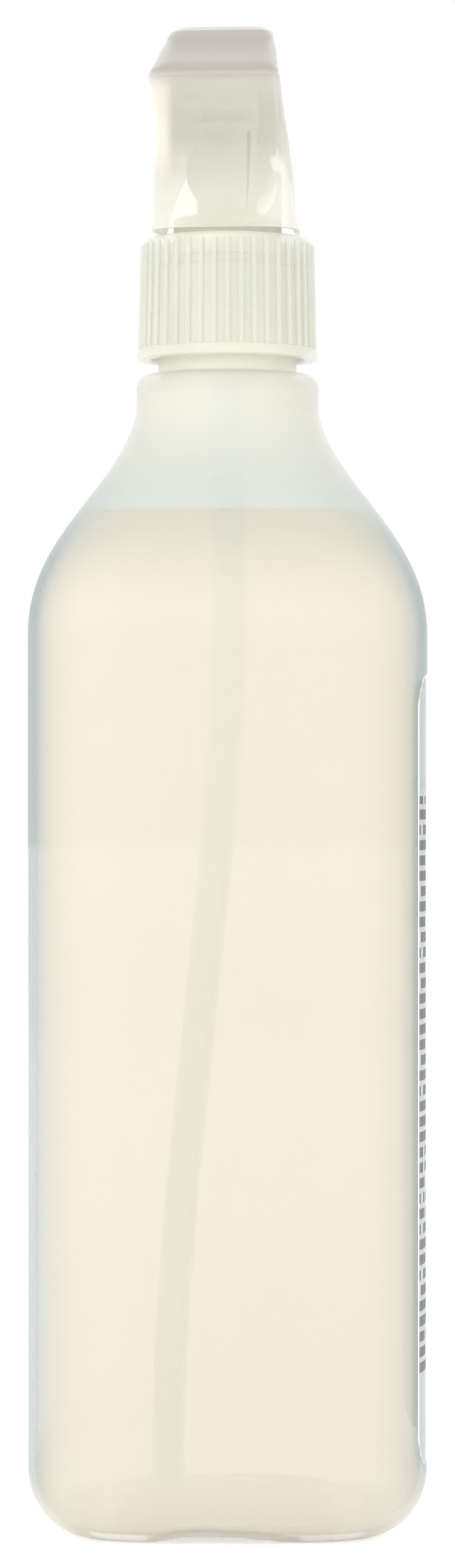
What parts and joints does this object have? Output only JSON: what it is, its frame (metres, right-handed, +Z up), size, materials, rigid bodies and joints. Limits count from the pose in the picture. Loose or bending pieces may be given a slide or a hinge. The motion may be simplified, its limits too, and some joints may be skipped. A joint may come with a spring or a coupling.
{
  "type": "glass cleaner trigger spray bottle",
  "caption": "Tall translucent plastic bottle of pale cleaning liquid with a ribbed screw closure, dip tube and trigger spray head.",
  "frame": {"origin": "the bottle's axis at the plane it stands on", "axes": "+Z up along the bottle's axis, +Y the way the nozzle points, +X out of the labelled face"},
  "size_m": [0.0714, 0.0883, 0.2692],
  "materials": {
    "natural_hdpe": "translucent, slightly rough blow-moulded polyethylene",
    "label_film": "printed film",
    "cleaning_liquid": "clear pale liquid",
    "natural_pp": "satin moulded polypropylene",
    "clear_pp": "translucent moulded polypropylene",
    "tube_pe": "translucent extruded tube",
    "seal_rubber": "soft grey seal",
    "stainless": "drawn stainless wire and ground ball"
  },
  "bodies": {
    "bottle": {"bottle": "natural_hdpe", "back_label": "label_film", "cleaning_liquid": "cleaning_liquid"},
    "gasket": {"neck_gasket": "seal_rubber"},
    "closure": {"closure": "natural_pp"},
    "sprayer": {"pump_body": "natural_pp", "shroud": "clear_pp", "tube_retainer": "natural_pp", "dip_tube": "tube_pe", "return_spring": "stainless", "outlet_valve": "seal_rubber", "swirl_insert": "natural_pp"},
    "trigger": {"trigger": "natural_pp"},
    "piston": {"piston": "natural_pp", "piston_seal": "seal_rubber"},
    "nozzle": {"nozzle_cap": "natural_pp", "nozzle_seal": "seal_rubber"},
    "inlet_ball": {"inlet_ball": "stainless"}
  },
  "joints": [
    {"name": "closure_rise", "type": "slide", "parent": "bottle", "child": "gasket", "axis": [0, 0, 1], "range_m": [0, 0.00529], "deforming": ["cleaning_liquid"]},
    {"name": "closure_turn", "type": "hinge", "parent": "gasket", "child": "closure", "pos_m": [0, 0, 0.2215], "axis": [0, 0, 1], "range_deg": [0, 450]},
    {"name": "head_swivel", "type": "hinge", "parent": "gasket", "child": "sprayer", "pos_m": [0, 0, 0.23], "axis": [0, 0, 1], "continuous": true, "deforming": ["cleaning_liquid"]},
    {"name": "trigger_pull", "type": "hinge", "parent": "sprayer", "child": "trigger", "pos_m": [0.00231, 0.0269, 0.2585], "axis": [-0.9963, 0.0854, 0], "range_deg": [0, 20], "stiffness_Nm_per_rad": 1, "springref_deg": -11.46},
    {"name": "piston_stroke", "type": "slide", "parent": "sprayer", "child": "piston", "axis": [-0.0854, -0.9963, 0], "range_m": [0, 0.005], "deforming": ["return_spring"]},
    {"name": "nozzle_turn", "type": "hinge", "parent": "sprayer", "child": "nozzle", "pos_m": [0.00346, 0.04035, 0.2585], "axis": [0.0854, 0.9963, 0], "continuous": true},
    {"name": "ball_lift", "type": "slide", "parent": "sprayer", "child": "inlet_ball", "axis": [0, 0, 1], "range_m": [0, 0.0012]}
  ],
  "couplings": [
    {"joint": "closure_turn", "follows": "closure_rise", "rad_per_m": 1484.2},
    {"joint": "piston_stroke", "follows": "trigger_pull", "m_per_rad": 0.0142}
  ]
}
